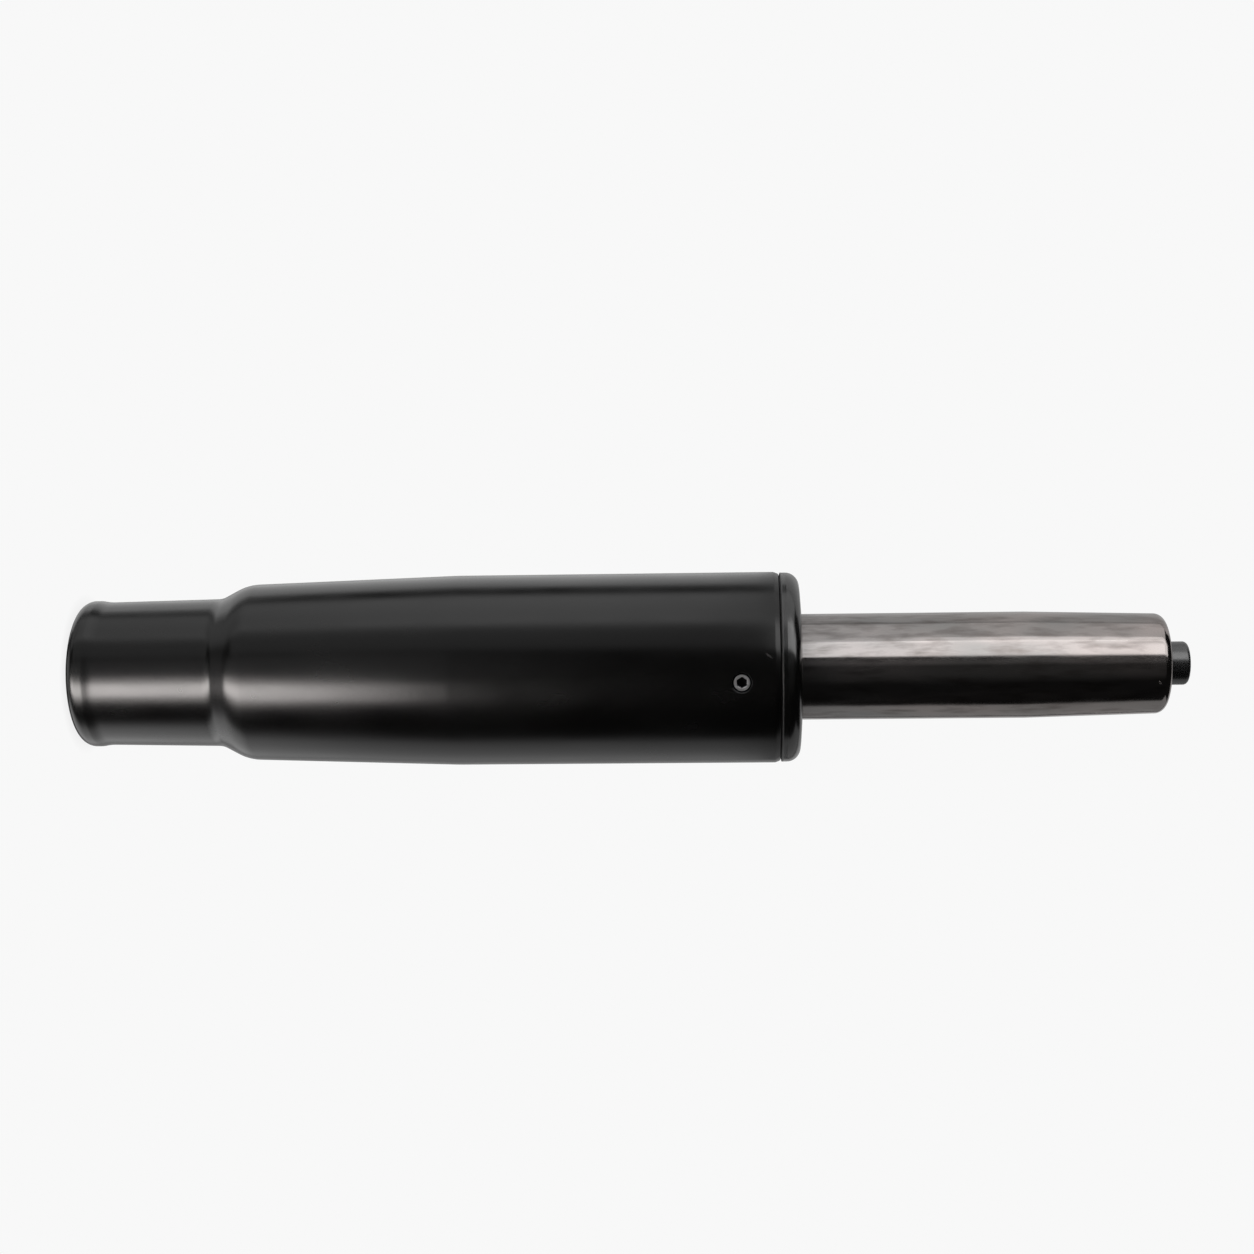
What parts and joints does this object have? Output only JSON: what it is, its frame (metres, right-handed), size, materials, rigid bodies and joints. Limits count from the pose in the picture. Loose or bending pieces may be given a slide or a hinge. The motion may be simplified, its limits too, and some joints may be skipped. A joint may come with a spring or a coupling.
{
  "type": "chair gas lift cylinder",
  "caption": "Gas lift column for a swivel chair: a tapered gas tube slides and turns in a painted column tube, with a release button on top.",
  "frame": {"origin": "centre of the column's bottom lip, on the axis, fully extended", "axes": "+Z along the column's axis from the bottom lip to the release button; the set screw is on the -Y side"},
  "size_m": [0.0505, 0.0504, 0.2934],
  "materials": {
    "column_paint": "satin black paint",
    "zinc_plated_steel": "zinc plated",
    "black_acetal": "moulded, glossy",
    "black_oxide_steel": "black oxide",
    "bearing_steel": "ground and polished",
    "cage_brass": "stamped",
    "bumper_rubber": "moulded, matte",
    "rod_chrome": "hard chromed and polished",
    "turned_aluminium": "turned",
    "seal_rubber": "moulded nitrile",
    "ground_steel": "centreless ground, warm grey",
    "guide_bronze": "sintered bronze",
    "honed_steel": "honed",
    "valve_steel": "turned",
    "button_plastic": "moulded, matte black"
  },
  "bodies": {
    "column": {"column_tube": "column_paint", "base_plate": "zinc_plated_steel", "guide_bush": "black_acetal", "set_screw": "black_oxide_steel", "lower_race": "bearing_steel"},
    "bearing_cage": {"ball_cage": "cage_brass", "bearing_balls": "bearing_steel"},
    "rod": {"piston_rod": "rod_chrome", "upper_race": "bearing_steel", "bumper": "bumper_rubber", "clip_washer": "zinc_plated_steel", "retaining_clip": "black_oxide_steel", "piston_washer": "zinc_plated_steel", "piston": "turned_aluminium", "piston_ring": "seal_rubber", "piston_nut": "zinc_plated_steel"},
    "gas_cylinder": {"gas_tube": "ground_steel", "seal_washer": "zinc_plated_steel", "rod_seal": "seal_rubber", "rod_guide": "guide_bronze", "foot_ring": "turned_aluminium", "inner_tube": "honed_steel", "valve_seat": "turned_aluminium", "port_ring": "turned_aluminium", "valve_housing": "valve_steel", "housing_seal": "seal_rubber", "lower_pin_seal": "seal_rubber", "upper_pin_seal": "seal_rubber"},
    "release": {"release_button": "button_plastic", "valve_pin": "rod_chrome"}
  },
  "joints": [
    {"name": "swivel", "type": "hinge", "parent": "column", "child": "rod", "pos_m": [0, 0, 0.0163], "axis": [0, 0, 1], "continuous": true},
    {"name": "cage_roll", "type": "hinge", "parent": "column", "child": "bearing_cage", "pos_m": [0, 0, 0.0124], "axis": [0, 0, 1], "continuous": true},
    {"name": "lift", "type": "slide", "parent": "rod", "child": "gas_cylinder", "axis": [0, 0, 1], "range_m": [-0.055, 0], "stiffness_N_per_m": 1500, "springref_m": 0.2275},
    {"name": "button_press", "type": "slide", "parent": "gas_cylinder", "child": "release", "axis": [0, 0, 1], "range_m": [-0.003, 0], "stiffness_N_per_m": 1500, "springref_m": 0.02}
  ],
  "couplings": [
    {"joint": "cage_roll", "follows": "swivel", "ratio": 0.5}
  ]
}
